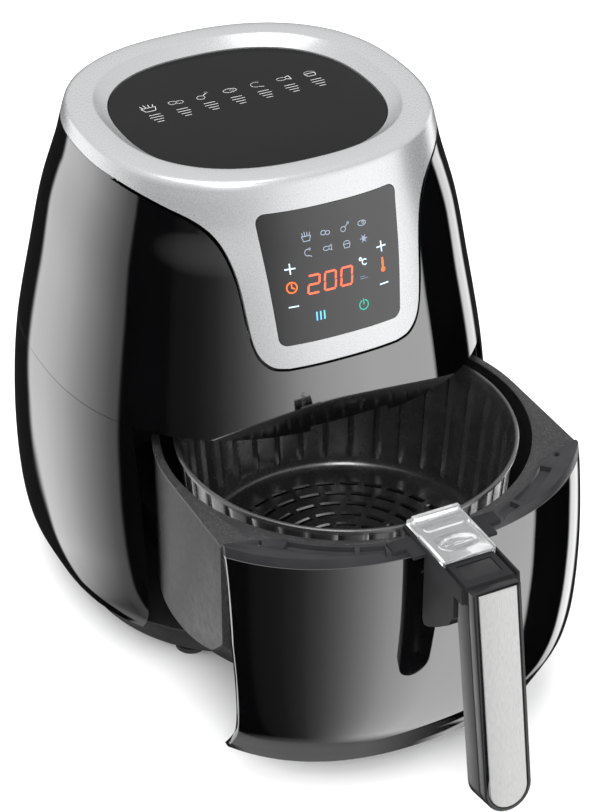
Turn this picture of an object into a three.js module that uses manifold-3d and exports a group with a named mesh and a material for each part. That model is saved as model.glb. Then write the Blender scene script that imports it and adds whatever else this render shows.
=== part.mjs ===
// Hot-air deep fryer with a pull-out pan and a lift-out basket, in millimetres, +Z up.
// The front faces -Y. Heights here are above the standing surface; the appliance group is
// lowered by FOOT_HEIGHT, so that the origin is on the underside of the base, between the feet.
// Pieces on the drawer are drawn at their closed place and their group is slid out by DRAWER_OUT.

import * as THREE from 'three';
import { mergeVertices } from 'three/addons/utils/BufferGeometryUtils.js';
import Module from 'manifold-3d';

const wasm = await Module();
wasm.setup();

// ---- driving dimensions -----------------------------------------------------------------

const GAP = 0.3; // clearance between pieces that touch
const SQUARENESS = 2.38; // exponent of the rounded-square plan of the housing
const ROUND_STEPS = 40; // sides of the housing's plan
const TURN_STEPS = 28; // sides of a turned piece

const HEIGHT = 334;
const FOOT_HEIGHT = 4;
const SEAM_Z = 182; // where the upper shell meets the lower one
const SHELL_BOTTOM_Z = 28;
const RING_BOTTOM_Z = 323.5;
const WALL = 2.5;
// Half-widths of the housing, from the fascia's lower edge up to the top edge: [z, half-width]
const SECTIONS = [
  [16, 130.5], [28, 136], [43, 142], [70, 145.5], [110, 146.2], [150, 144],
  [182, 140], [233, 130.7], [273, 122.8], [308, 112.6], [323.5, 109], [331, 107], [334, 103.5],
];

const DRAWER_OUT = 116; // how far the drawer stands open at rest
const BASKET_Y = -18; // centre of the round pan and basket, drawer closed
const FLANGE_TOP_Z = 172.5;
const FLANGE_HALF_WIDTH = 115.7;
const PAN_BOTTOM_Z = 63;
const PAN_HOLE_R = 110.8;
const FASCIA_TOP_Z = 168;
const FASCIA_BOTTOM_Z = 17;
const FASCIA_WALL = 2.2;
const BRACKET_TOP_Z = 174.5;

const BASKET_RIM_Z = 173.5;
const BASKET_RIM_R = 103;
const BASKET_FLOOR_Z = 79;

const BRIDGE_TOP_Z = 176;
const BRIDGE_HALF_WIDTH = 18.5;
const GRIP_TOP = { y: -197, z: 166.2 };
const GRIP_TILT = THREE.MathUtils.degToRad(-10.5);
const GRIP_LENGTH = 133;
const GRIP_HALF_WIDTH = 15;
const GRIP_DEPTH = 20;

const LINER_BOTTOM_Z = 187;
const FAN_AXIS_Y = BASKET_Y;

// ---- solids: closed meshes joined and cut ------------------------------------------------

function solid(geometry) {
  const bare = geometry.index ? geometry.toNonIndexed() : geometry.clone();
  bare.deleteAttribute('normal');
  bare.deleteAttribute('uv');
  const merged = mergeVertices(bare, 1e-4);
  return new wasm.Manifold(new wasm.Mesh({
    numProp: 3,
    vertProperties: new Float32Array(merged.attributes.position.array),
    triVerts: new Uint32Array(merged.index.array),
  }));
}

function geometryOf(body) {
  const mesh = body.getMesh();
  const geometry = new THREE.BufferGeometry();
  geometry.setAttribute('position', new THREE.BufferAttribute(mesh.vertProperties, 3));
  geometry.setIndex(new THREE.BufferAttribute(mesh.triVerts, 1));
  return geometry;
}

const join = (first, ...others) => others.reduce((a, b) => a.add(b), first);
const cut = (first, ...others) => others.reduce((a, b) => a.subtract(b), first);
const common = (first, ...others) => others.reduce((a, b) => a.intersect(b), first);

function box(x0, x1, y0, y1, z0, z1) {
  const geometry = new THREE.BoxGeometry(x1 - x0, y1 - y0, z1 - z0);
  return solid(geometry.translate((x0 + x1) / 2, (y0 + y1) / 2, (z0 + z1) / 2));
}

const outline = (points) => new THREE.Shape(points.map(([u, v]) => new THREE.Vector2(u, v)));

// Each arc of an outline is drawn with twice `steps` sides
function extrude(shape, depth, steps = 2) {
  return new THREE.ExtrudeGeometry(shape, { depth, bevelEnabled: false, curveSegments: steps });
}

// An outline in X and Y, raised from z0 to z1
const plate = (shape, z0, z1, steps) => solid(extrude(shape, z1 - z0, steps).translate(0, 0, z0));

// An outline in X and Z, carried along Y from y0 to y1
function frontPrism(shape, y0, y1, steps) {
  return solid(extrude(shape, y1 - y0, steps).rotateX(Math.PI / 2).translate(0, y1, 0));
}

// An outline in Y and Z, carried along X from x0 to x1
function sidePrism(shape, x0, x1, steps) {
  const geometry = extrude(shape, x1 - x0, steps);
  return solid(geometry.rotateX(Math.PI / 2).rotateZ(Math.PI / 2).translate(x0, 0, 0));
}

// A closed [radius, z] profile turned about a vertical axis at (0, y)
function turned(profile, y = 0, steps = TURN_STEPS) {
  const closed = profile.map(([r, z]) => new THREE.Vector2(r, z));
  const onAxis = profile[0][0] === 0 && profile.at(-1)[0] === 0;
  if (!onAxis) closed.push(closed[0].clone());
  const geometry = new THREE.LatheGeometry(closed, steps).rotateX(Math.PI / 2);
  return positive(solid(geometry.translate(0, y, 0)));
}

// Turns a mesh the right way out when its profile ran the other way
function positive(body) {
  if (body.volume() > 0) return body;
  const mesh = body.getMesh();
  const flipped = mesh.triVerts.slice();
  for (let i = 0; i < flipped.length; i += 3) {
    [flipped[i], flipped[i + 1]] = [flipped[i + 1], flipped[i]];
  }
  const vertProperties = mesh.vertProperties;
  return new wasm.Manifold(new wasm.Mesh({ numProp: 3, vertProperties, triVerts: flipped }));
}

function roundedRect(x0, x1, y0, y1, r) {
  const shape = new THREE.Shape();
  shape.absarc(x1 - r, y1 - r, r, 0, Math.PI / 2);
  shape.absarc(x0 + r, y1 - r, r, Math.PI / 2, Math.PI);
  shape.absarc(x0 + r, y0 + r, r, Math.PI, 1.5 * Math.PI);
  shape.absarc(x1 - r, y0 + r, r, 1.5 * Math.PI, 2 * Math.PI);
  return shape;
}

function cylinderZ(r, z0, z1, x = 0, y = 0, steps = 16) {
  const geometry = new THREE.CylinderGeometry(r, r, z1 - z0, steps).rotateX(Math.PI / 2);
  return solid(geometry.translate(x, y, (z0 + z1) / 2));
}

function cylinderY(r, y0, y1, x = 0, z = 0, steps = 16) {
  const geometry = new THREE.CylinderGeometry(r, r, y1 - y0, steps);
  return solid(geometry.translate(x, (y0 + y1) / 2, z));
}


// ---- the housing's rounded-square form -----------------------------------------------------

function halfWidthAt(z) {
  const next = SECTIONS.findIndex(([level]) => level >= z);
  if (next <= 0) return SECTIONS[Math.max(next, 0)][1];
  const [z0, w0] = SECTIONS[next - 1];
  const [z1, w1] = SECTIONS[next];
  return w0 + ((w1 - w0) * (z - z0)) / (z1 - z0);
}

// The top is a little shallower than wide, and stands slightly forward of the base
const upperShare = (z) => THREE.MathUtils.clamp((z - SEAM_Z) / (HEIGHT - SEAM_Z), 0, 1);
const depthRatio = (z) => 1.008 - 0.04 * upperShare(z);
const centreY = (z) => 1.2 - 4.2 * upperShare(z);

function planPoint(halfWidth, z, angle) {
  const power = 2 / SQUARENESS;
  const c = Math.cos(angle);
  const s = Math.sin(angle);
  const x = halfWidth * Math.sign(c) * Math.abs(c) ** power;
  const y = halfWidth * depthRatio(z) * Math.sign(s) * Math.abs(s) ** power;
  return [x, y + centreY(z)];
}

// A closed [half-width, z] profile carried round the rounded-square plan
function swept(profile) {
  const closed = profile.map(([r, z]) => new THREE.Vector2(r, z));
  const onAxis = profile[0][0] === 0 && profile.at(-1)[0] === 0;
  if (!onAxis) closed.push(closed[0].clone());
  const geometry = new THREE.LatheGeometry(closed, ROUND_STEPS).rotateX(Math.PI / 2);
  const position = geometry.attributes.position;
  for (let i = 0; i < position.count; i += 1) {
    const r = Math.hypot(position.getX(i), position.getY(i));
    if (r < 1e-6) continue;
    const angle = Math.atan2(position.getY(i), position.getX(i));
    const [x, y] = planPoint(r, position.getZ(i), angle);
    position.setXY(i, x, y);
  }
  return positive(solid(geometry));
}

function wallProfile(z0, z1, outerInset, innerInset) {
  const levels = [z0, ...SECTIONS.map(([z]) => z).filter((z) => z > z0 && z < z1), z1];
  const outer = levels.map((z) => [halfWidthAt(z) - outerInset, z]);
  const inner = levels.map((z) => [halfWidthAt(z) - innerInset, z]).reverse();
  return [...outer, ...inner];
}

const housingWall = (z0, z1, wall = WALL) => swept(wallProfile(z0, z1, 0, wall));

function housingInside(z0, z1, inset) {
  const levels = [z0, ...SECTIONS.map(([z]) => z).filter((z) => z > z0 && z < z1), z1];
  return swept([[0, z0], ...levels.map((z) => [halfWidthAt(z) - inset, z]), [0, z1]]);
}

// ---- scene graph -----------------------------------------------------------------------------

const fryer = new THREE.Group();
const appliance = new THREE.Group();
appliance.position.z = -FOOT_HEIGHT;
fryer.add(appliance);
const drawer = new THREE.Group();
drawer.position.y = -DRAWER_OUT;
appliance.add(drawer);

const FINISHES = {
  glossBlack: [0x0b0b0d, 0.08, 0],
  silver: [0xc4c6c8, 0.3, 0.9],
  lens: [0x08090b, 0.05, 0],
  darkGrey: [0x4a4b4e, 0.5, 0],
  mattBlack: [0x1b1b1d, 0.6, 0],
  nonStick: [0x1c1d1f, 0.45, 0.2],
  steel: [0xd2d3d4, 0.3, 1],
  rubber: [0x161616, 0.85, 0],
  clear: [0xe8ecef, 0.05, 0],
  board: [0x1f5a34, 0.5, 0],
  copper: [0xb0703a, 0.4, 1],
};

function add(name, body, finish, parent = appliance) {
  const geometry = body.isBufferGeometry ? body : geometryOf(body);
  const [color, roughness, metalness] = FINISHES[finish];
  const material = new THREE.MeshStandardMaterial({ color, roughness, metalness });
  const mesh = new THREE.Mesh(geometry, material);
  mesh.name = name;
  parent.add(mesh);
  return mesh;
}

// ---- upper housing: silver bezel, control lens, black shell ----------------------------------

// Right half of the shield under the silver ring, from the ring's lower edge to the centre line
const SHIELD_SIDE = [
  [104, 323.4], [97, 321], [88, 317.2], [77.5, 312.4], [70, 306.5], [65, 299.5], [61.5, 291],
  [58.8, 280], [57.2, 268], [56, 255], [54, 240], [50.5, 231], [44, 225], [35, 223],
];

function shieldOutline(grow) {
  const right = SHIELD_SIDE.map(([x, z]) => [x + grow * (z > 240 ? 1 : 0.7), z - grow]);
  const top = [[130, 323.4 - grow], [130, 345]];
  const half = [...top.reverse(), ...right];
  return outline([...half, ...half.map(([x, z]) => [-x, z]).reverse()]);
}

function lensOutline(grow) {
  const r = 5.5;
  const [top, bottom] = [314.5 + grow, 237 - grow];
  const [topX, bottomX] = [44.6 + grow, 39.6 + grow];
  const shape = new THREE.Shape();
  shape.absarc(bottomX - r, bottom + r, r, -Math.PI / 2, 0);
  shape.absarc(topX - r, top - r, r, 0, Math.PI / 2);
  shape.absarc(r - topX, top - r, r, Math.PI / 2, Math.PI);
  shape.absarc(r - bottomX, bottom + r, r, Math.PI, 1.5 * Math.PI);
  return shape;
}

const BEZEL_WALL = 3.2;
const FRONT = [-170, -40]; // span in Y of the cutters that work on the front of the housing
const ringProfile = [
  [109, 323.5], [107, 331], [105, 333.4], [103, 334], [91, 334], [89, 333], [81.5, 327.6],
  [81.5, 324.3], [103, 324.3], [105, 323.5],
];
const shieldPatch = common(
  housingWall(221, 326, BEZEL_WALL),
  frontPrism(shieldOutline(0), ...FRONT),
);
const lensHole = frontPrism(lensOutline(GAP), ...FRONT);
add('top_bezel', cut(join(swept(ringProfile), shieldPatch), lensHole), 'silver');

const lensPatch = common(
  housingWall(233, 320, BEZEL_WALL),
  frontPrism(lensOutline(0), ...FRONT),
);
add('control_lens', lensPatch, 'lens');

add('top_panel', swept([[0, 325], [81.2, 325], [81.2, 327], [0, 327]]), 'lens');

const SHADOW_GAP = 1.6;
const upperBody = cut(
  housingWall(SEAM_Z, RING_BOTTOM_Z - GAP),
  frontPrism(shieldOutline(SHADOW_GAP), ...FRONT),
  frontPrism(roundedRect(-26, 26, 170, SEAM_Z + 3, 0.8), ...FRONT, 1),
  frontPrism(roundedRect(-40, 40, 208, 262, 5), 60, 160),
);
add('upper_shell', upperBody, 'glossBlack');

const ventPatch = common(
  housingWall(200, 270),
  frontPrism(roundedRect(-39.7, 39.7, 208.3, 261.7, 4.7), 60, 160),
);
const VENT_SLOTS = 6;
const ventSlots = Array.from({ length: VENT_SLOTS }, (_, i) => {
  const z = 214.5 + i * 8.2;
  return frontPrism(roundedRect(-34, 34, z - 2, z + 2, 1.9), 60, 160, 1);
});
add('rear_vent', cut(ventPatch, ...ventSlots), 'mattBlack');

// ---- lower housing: shell, drawer bay, base, feet ------------------------------------------

const OPENING_HALF = { top: 118.4, bottom: 114.5 };
const drawerOpening = outline([
  [OPENING_HALF.top, 200], [-OPENING_HALF.top, 200],
  [-OPENING_HALF.top, 120], [-OPENING_HALF.bottom, 0],
  [OPENING_HALF.bottom, 0], [OPENING_HALF.top, 120],
]);
const GLAND = { x: -52, z: 62 };
const lowerBody = cut(
  housingWall(SHELL_BOTTOM_Z, SEAM_Z - GAP),
  frontPrism(drawerOpening, ...FRONT),
  cylinderY(7, 90, 170, GLAND.x, GLAND.z),
);
add('lower_shell', lowerBody, 'glossBlack');

const BAY_R = 119.4;
const BAY_WALL = 1.8;
const BAY_FLOOR_Z = 33;

function bayOutline(r) {
  const shape = new THREE.Shape();
  shape.moveTo(r, -160);
  shape.lineTo(r, BASKET_Y);
  shape.absarc(0, BASKET_Y, r, 0, Math.PI);
  shape.lineTo(-r, -160);
  return shape;
}
const bayBlock = cut(
  plate(bayOutline(BAY_R + BAY_WALL), BAY_FLOOR_Z - 2, SEAM_Z - 3, 9),
  plate(bayOutline(BAY_R), BAY_FLOOR_Z, SEAM_Z, 9),
  box(-10, 10, 95, 110, 150, 172),
);
add('drawer_bay', common(bayBlock, housingInside(29, 181, WALL + 0.8)), 'mattBlack');

const RAIL_TOP_Z = PAN_BOTTOM_Z - GAP;
for (const [name, side] of [['left', -1], ['right', 1]]) {
  const ledge = outline([
    [side * 70, RAIL_TOP_Z], [side * 70, 58], [side * 72, BAY_FLOOR_Z + GAP],
    [side * 78, BAY_FLOOR_Z + GAP], [side * 80, 58], [side * 80, RAIL_TOP_Z],
  ]);
  add(`guide_rail_${name}`, frontPrism(ledge, -98, 56), 'mattBlack');
}

const baseTub = cut(
  swept([[0, FOOT_HEIGHT], [119, FOOT_HEIGHT], [122, 8], [128, 27.6], [0, 27.6]]),
  swept([[0, 7], [116.5, 7], [119.5, 11], [125, 30], [0, 30]]),
  ...[-45, -27, -9, 9, 27, 45].map((x) => box(x - 3, x + 3, -40, 40, 0, 10)),
);
add('base_plate', baseTub, 'mattBlack');

const FOOT_XY = 82;
for (const [name, x, y] of [
  ['front_left', -1, -1], ['front_right', 1, -1], ['rear_left', -1, 1], ['rear_right', 1, 1],
]) {
  const foot = cylinderZ(10, 0, FOOT_HEIGHT - GAP, x * FOOT_XY, y * FOOT_XY, 14);
  add(`foot_${name}`, foot, 'rubber');
}

const glandCollar = cut(
  cylinderY(9.5, 130, 149, GLAND.x, GLAND.z),
  housingInside(40, 90, -0.5),
);
const gland = cut(
  join(glandCollar, cylinderY(6.6, 126, 149, GLAND.x, GLAND.z)),
  cylinderY(3.5, 120, 155, GLAND.x, GLAND.z, 12),
);
add('cord_gland', gland, 'rubber');

// ---- heating chamber and fan ------------------------------------------------------------------

const linerShell = turned([
  [114, LINER_BOTTOM_Z], [112, 189], [104, 236], [97, 240], [7, 240], [7, 238.5], [96.5, 238.5],
  [102.4, 235], [110.4, 188.5], [110.4, LINER_BOTTOM_Z],
], FAN_AXIS_Y);
add('chamber_liner', linerShell, 'steel');

const guardSlots = Array.from({ length: 10 }, (_, i) => {
  const slot = box(26, 98, -6.2, 6.2, 180, 200).rotate([0, 0, i * 36]);
  return slot.translate([0, FAN_AXIS_Y, 0]);
});
const guardDisc = turned([
  [0, 190], [108.5, 190], [108.5, 191.6], [0, 191.6],
], FAN_AXIS_Y);
add('heater_guard', cut(guardDisc, ...guardSlots), 'steel');

class CoilCurve extends THREE.Curve {
  getPoint(t, target = new THREE.Vector3()) {
    const angle = t * 2 * Math.PI * 2.4;
    const r = 92 - 28 * t;
    return target.set(r * Math.cos(angle), FAN_AXIS_Y + r * Math.sin(angle), 203);
  }
}

// A round tube with six sides along a curve
function tube(curve, radius, steps) {
  const section = new THREE.Shape();
  section.absarc(0, 0, radius, 0, 2 * Math.PI);
  return positive(solid(new THREE.ExtrudeGeometry(section, {
    steps, curveSegments: 3, extrudePath: curve,
  })));
}
add('heating_element', tube(new CoilCurve(), 3.4, 40), 'mattBlack');

const reflector = turned([[72, 212], [93, 209], [93, 210.2], [72, 213.2]], FAN_AXIS_Y);
add('heater_reflector', reflector, 'steel');

const ROTOR = { shaftR: 3.5, top: 312, bottom: 205 };
add('motor_shaft', cylinderZ(ROTOR.shaftR, ROTOR.bottom, ROTOR.top, 0, FAN_AXIS_Y), 'steel');

function fanWheel(hubR, tipR, blades, z0, z1) {
  const bore = ROTOR.shaftR + 0.2;
  const hub = turned([[bore, z0], [hubR, z0], [hubR, z1], [bore, z1]], FAN_AXIS_Y, 16);
  const disc = turned([
    [bore, z1 - 1.5], [tipR - 6, z1 - 1.5], [tipR - 6, z1], [bore, z1],
  ], FAN_AXIS_Y, 20);
  const reach = (z1 - z0) / 2 - 0.8;
  const blade = box(hubR - 1, tipR, -0.8, 0.8, -reach, reach).rotate([12, 0, 0]);
  const wheel = Array.from({ length: blades }, (_, i) => (
    blade.rotate([0, 0, (i * 360) / blades]).translate([0, FAN_AXIS_Y, (z0 + z1) / 2])
  ));
  return join(hub, disc, ...wheel);
}
add('convection_fan', fanWheel(10, 62, 8, 216, 230), 'steel');
add('cooling_fan', fanWheel(9, 44, 7, 299, 309), 'mattBlack');

const motorBody = turned([
  [5, 250], [28, 250], [30, 254], [30, 288], [26, 294], [5, 294],
], FAN_AXIS_Y, 20);
add('fan_motor', motorBody, 'steel');

const motorPlate = cut(
  plate(roundedRect(-62, 62, FAN_AXIS_Y - 20, FAN_AXIS_Y + 20, 6), 247, 249.7),
  cylinderZ(8, 240, 255, 0, FAN_AXIS_Y),
);
const motorLegs = [-58, 58].map((x) => box(x - 4, x + 4, FAN_AXIS_Y - 8, FAN_AXIS_Y + 8, 240.3, 248));
add('motor_bracket', join(motorPlate, ...motorLegs), 'steel');

add('temperature_sensor', cylinderZ(2.5, 241, 252, 78, FAN_AXIS_Y + 10, 12), 'copper');
add('thermal_fuse', cylinderZ(4, 240.3, 247, -80, FAN_AXIS_Y + 12, 12), 'copper');
add('power_board', box(-38, 38, 106, 108, 212, 258), 'board');

const BOARD = { y: -98, z: 276, tilt: THREE.MathUtils.degToRad(-13.5) };
const controls = new THREE.Group();
controls.position.set(0, BOARD.y, BOARD.z);
controls.rotation.x = BOARD.tilt;
appliance.add(controls);
add('control_board', box(-40, 40, 0, 1.6, -34, 34), 'board', controls);
add('display_module', box(-20, 20, -9, -GAP, -14, 14), 'mattBlack', controls);

// ---- drawer switch in the back of the bay ----------------------------------------------------

const SWITCH_Z = 161;
const switchCase = cut(
  box(-9, 9, 106, 116, SWITCH_Z - 8, SWITCH_Z + 8),
  cylinderY(2.3, 100, 113, 0, SWITCH_Z, 14),
);
add('switch_case', switchCase, 'mattBlack');
const plunger = join(
  cylinderY(2, 100.4, 110, 0, SWITCH_Z, 12),
  cylinderY(3.6, 99, 100.5, 0, SWITCH_Z, 12),
);
add('switch_plunger', plunger, 'silver');

// ---- drawer: pan, fascia, bracket --------------------------------------------------------------

const CORNER_Y = -86; // where the pan's straight sides meet its bowed front
const FRONT_Y = -134;

function panOutline(inset) {
  const halfWidth = FLANGE_HALF_WIDTH - 1.2 - inset;
  const rise = CORNER_Y - FRONT_Y;
  const r = (halfWidth ** 2 + rise ** 2) / (2 * rise);
  const swing = Math.asin(halfWidth / r);
  const shape = new THREE.Shape();
  shape.absarc(0, FRONT_Y + inset + r, r, -Math.PI / 2 - swing, -Math.PI / 2 + swing);
  shape.lineTo(halfWidth, BASKET_Y);
  shape.absarc(0, BASKET_Y, halfWidth, 0, Math.PI);
  return shape;
}

function panBowl(inset, floorZ, topZ) {
  const bowl = turned([
    [0, floorZ], [104 - inset, floorZ], [112 - inset, floorZ + 4], [126 - inset, 84],
    [142 - inset, 118], [142 - inset, topZ], [0, topZ],
  ], BASKET_Y, 36);
  return common(plate(panOutline(inset), floorZ, topZ, 9), bowl);
}

// The flange: straight sides, round back, and a front cut round for the bracket
function flangeOutline() {
  const w = FLANGE_HALF_WIDTH;
  const shape = new THREE.Shape();
  shape.moveTo(w, -90);
  shape.lineTo(w, BASKET_Y);
  shape.absarc(0, BASKET_Y, w, 0, Math.PI);
  shape.lineTo(-w, -90);
  shape.lineTo(-99, -94.2);
  shape.lineTo(-82, -101);
  shape.absarc(0, BASKET_Y, 117.2, Math.PI + 0.79, 2 * Math.PI - 0.79);
  shape.lineTo(82, -101);
  shape.lineTo(99, -94.2);
  return shape;
}
// The arc-shaped bracket fills the band between the flange and the fascia's upper edge
function bracketOutline() {
  const shape = new THREE.Shape();
  shape.moveTo(-160, -91);
  shape.lineTo(-114, -91);
  shape.lineTo(-99.2, -94.6);
  shape.lineTo(-82.4, -101.5);
  shape.absarc(0, BASKET_Y, 117.6, Math.PI + 0.79, 2 * Math.PI - 0.79);
  shape.lineTo(82.4, -101.5);
  shape.lineTo(99.2, -94.6);
  shape.lineTo(114, -91);
  shape.lineTo(160, -91);
  shape.lineTo(160, -170);
  shape.lineTo(-160, -170);
  return shape;
}

const PAN_WALL = 1.8;
const FLANGE_T = 1.5;
const panTub = cut(
  panBowl(0, PAN_BOTTOM_Z, FLANGE_TOP_Z - FLANGE_T),
  panBowl(PAN_WALL, PAN_BOTTOM_Z + PAN_WALL, FLANGE_TOP_Z),
  plate(bracketOutline(), FASCIA_TOP_Z, 190, 9),
);
const flange = cut(
  plate(flangeOutline(), FLANGE_TOP_Z - FLANGE_T, FLANGE_TOP_Z, 9),
  cylinderZ(PAN_HOLE_R, 150, 190, 0, BASKET_Y, 40),
);
const catchTab = box(-6, 6, 90, 98.6, SWITCH_Z - 6, SWITCH_Z + 6);
add('pan', join(panTub, flange, catchTab), 'nonStick', drawer);

const fasciaOutline = outline([
  [FLANGE_HALF_WIDTH - 0.4, FASCIA_TOP_Z], [-FLANGE_HALF_WIDTH + 0.4, FASCIA_TOP_Z],
  [-FLANGE_HALF_WIDTH + 0.6, 110], [-110.5, FASCIA_BOTTOM_Z],
  [110.5, FASCIA_BOTTOM_Z], [FLANGE_HALF_WIDTH - 0.6, 110],
]);
const fascia = common(
  housingWall(FASCIA_BOTTOM_Z, FASCIA_TOP_Z, FASCIA_WALL),
  frontPrism(fasciaOutline, ...FRONT),
);
add('drawer_fascia', fascia, 'glossBlack', drawer);

function arcPocket(fromDeg, toDeg, side) {
  const r = { in: 119.5, out: 126.5 };
  const angle = (deg) => THREE.MathUtils.degToRad(-90 + side * deg);
  const shape = new THREE.Shape();
  shape.absarc(0, BASKET_Y, r.out, angle(fromDeg), angle(toDeg), side < 0);
  shape.absarc(0, BASKET_Y, r.in, angle(toDeg), angle(fromDeg), side > 0);
  return plate(shape, BRACKET_TOP_Z - 3.5, BRACKET_TOP_Z + 5);
}
const socketOutline = outline([
  [34.6, -120], [34.6, -141.4], [27, -141.4], [27, -160],
  [-27, -160], [-27, -141.4], [-34.6, -141.4], [-34.6, -120],
]);
const SOCKET_FLOOR_Z = 171; // a thin strip of the bracket runs on below the handle
const BRACKET_HOLE = { x: 96.5, y: -98.8, r: 2.3 };
const bracketBody = cut(
  common(
    plate(bracketOutline(), FASCIA_TOP_Z + GAP, BRACKET_TOP_Z, 9),
    housingInside(150, 181, 0.1),
    box(-115.3, 115.3, -200, 0, 100, 200),
  ),
  plate(socketOutline, SOCKET_FLOOR_Z, 190),
  ...[-1, 1].flatMap((side) => [
    arcPocket(25.3, 43.5, side), arcPocket(17.2, 24, side),
    cylinderZ(BRACKET_HOLE.r, 150, 190, side * BRACKET_HOLE.x, BRACKET_HOLE.y, 12),
  ]),
);
add('fascia_bracket', bracketBody, 'darkGrey', drawer);

for (const [name, side] of [['left', -1], ['right', 1]]) {
  const x = side * BRACKET_HOLE.x;
  const screw = cylinderZ(2, FASCIA_TOP_Z + 0.6, 172, x, BRACKET_HOLE.y, 12);
  add(`bracket_screw_${name}`, screw, 'steel', drawer);
}

// ---- basket and its handle ------------------------------------------------------------------------

const basket = new THREE.Group();
drawer.add(basket);

const basketWall = turned([
  [0, BASKET_FLOOR_Z], [84, BASKET_FLOOR_Z], [91, 82], [93.5, 88], [100, 168],
  [BASKET_RIM_R, 171.5], [BASKET_RIM_R, BASKET_RIM_Z], [100.6, BASKET_RIM_Z], [98.4, 168],
  [92, 89], [89.5, 83.4], [84, BASKET_FLOOR_Z + 1.8], [0, BASKET_FLOOR_Z + 1.8],
], BASKET_Y, 36);
const SLOT_RINGS = [[30, 12], [41, 16], [52, 20], [63, 24], [74, 30]]; // [radius, slots]
const floorSlots = SLOT_RINGS.flatMap(([r, count], ring) => (
  Array.from({ length: count }, (_, i) => {
    const half = (Math.PI * r) / count - 1.7;
    const slot = box(r - 2, r + 2, -half, half, 70, 90);
    return slot.rotate([0, 0, ((i + (ring % 2) / 2) * 360) / count]).translate([0, BASKET_Y, 0]);
  })
));
add('basket', cut(basketWall, ...floorSlots), 'nonStick', basket);

const RIM_FRONT_Y = BASKET_Y - BASKET_RIM_R; // where the basket's rim meets the handle
const HOOK_Z = FLANGE_TOP_Z + 0.4;
const hookPlate = join(
  box(-13, 13, RIM_FRONT_Y - 6, RIM_FRONT_Y - 0.6, HOOK_Z - 2.2, HOOK_Z - GAP),
  box(-13, 13, RIM_FRONT_Y - 2.2, RIM_FRONT_Y - 0.6, 148, HOOK_Z - GAP),
);
add('basket_hook', hookPlate, 'steel', basket);

const gripOutline = (inset, topZ = 0) => {
  const w = GRIP_HALF_WIDTH - inset;
  const endZ = GRIP_HALF_WIDTH - GRIP_LENGTH;
  const shape = new THREE.Shape();
  shape.moveTo(w, topZ);
  shape.lineTo(-w, topZ);
  shape.lineTo(-w, endZ);
  shape.absarc(0, endZ, w, Math.PI, 2 * Math.PI);
  return shape;
};

// The grip is drawn upright, its front face on y = 0 and its top at z = 0, then leaned outwards
const lean = (body) => (
  body.rotate([THREE.MathUtils.radToDeg(GRIP_TILT), 0, 0]).translate([0, GRIP_TOP.y, GRIP_TOP.z])
);
const GRIP_SPLIT = 7; // depth of the front frame
const FRONT_TOP = 9.6; // how far the front frame stands up past the top of the back shell
const gripClearance = lean(join(
  frontPrism(gripOutline(-GAP, GAP), -GAP, GRIP_DEPTH + GAP, 4),
  box(-25, 25, -12, GRIP_SPLIT + GAP, -GAP, 20),
));

const WEB_BACK_Y = -147.6;
const beamSide = outline([
  [-122.5, HOOK_Z], [-122.5, BRIDGE_TOP_Z], [-195, BRIDGE_TOP_Z], [-197.6, 174.5], [-198.4, 166.6],
  [-180.5, 166.6], [-181, 152], [-176, 143], [-165, 134], [-154, 126.5], [-149.5, 125],
  [WEB_BACK_Y, 128], [WEB_BACK_Y, SOCKET_FLOOR_Z + GAP], [-136.4, SOCKET_FLOOR_Z + GAP],
  [-136.4, HOOK_Z],
]);
const wingPlate = outline([
  [34.2, -131.5], [34.2, -141], [26.6, -141], [26.6, -150],
  [-26.6, -150], [-26.6, -141], [-34.2, -141], [-34.2, -131.5],
]);
const BUTTON = { x: 10.8, y0: -182, y1: -169, top: 175.3 };
const grooves = [-1, 1].map((side) => box(
  Math.min(side * 14.6, side * 17.2), Math.max(side * 14.6, side * 17.2), -189, -135, 172.8, 180,
));
const bridge = cut(
  join(
    sidePrism(beamSide, -BRIDGE_HALF_WIDTH, BRIDGE_HALF_WIDTH),
    plate(wingPlate, HOOK_Z, BRIDGE_TOP_Z - 1),
  ),
  gripClearance,
  box(-BUTTON.x - GAP, BUTTON.x + GAP, BUTTON.y0 - GAP, BUTTON.y1 + GAP, 168.6, 180),
  cylinderZ(3.4, 161, 180, 0, (BUTTON.y0 + BUTTON.y1) / 2, 16),
  ...grooves,
);
add('handle_bridge', bridge, 'darkGrey', basket);

const gripBack = lean(cut(
  frontPrism(gripOutline(0), GRIP_SPLIT + GAP, GRIP_DEPTH, 4),
  ...[-28, -104].map((z) => cylinderY(2.8, 16, 24, 0, z, 12)),
));
add('handle_grip', gripBack, 'mattBlack', basket);

const INSERT_INSET = 3;
const INSERT_TOP = 1.5;
const gripFront = lean(cut(
  frontPrism(gripOutline(0, FRONT_TOP), 0, GRIP_SPLIT, 4),
  frontPrism(gripOutline(INSERT_INSET - GAP, FRONT_TOP - INSERT_TOP + GAP), -1, 2, 4),
));
add('grip_frame', gripFront, 'mattBlack', basket);
const insert = lean(
  frontPrism(gripOutline(INSERT_INSET, FRONT_TOP - INSERT_TOP), -0.4, 1.7, 4),
);
add('grip_insert', insert, 'steel', basket);
[['upper', -28], ['lower', -104]].forEach(([name, z]) => {
  add(`grip_screw_${name}`, lean(cylinderY(2.5, 16.4, 19, 0, z, 12)), 'steel', basket);
});

const BUTTON_Y = (BUTTON.y0 + BUTTON.y1) / 2;
const button = join(
  box(-BUTTON.x, BUTTON.x, BUTTON.y0, BUTTON.y1, 172.4, BUTTON.top),
  cylinderZ(1.6, 165, 173, 0, BUTTON_Y, 12),
);
add('release_button', button, 'mattBlack', basket);

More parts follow.
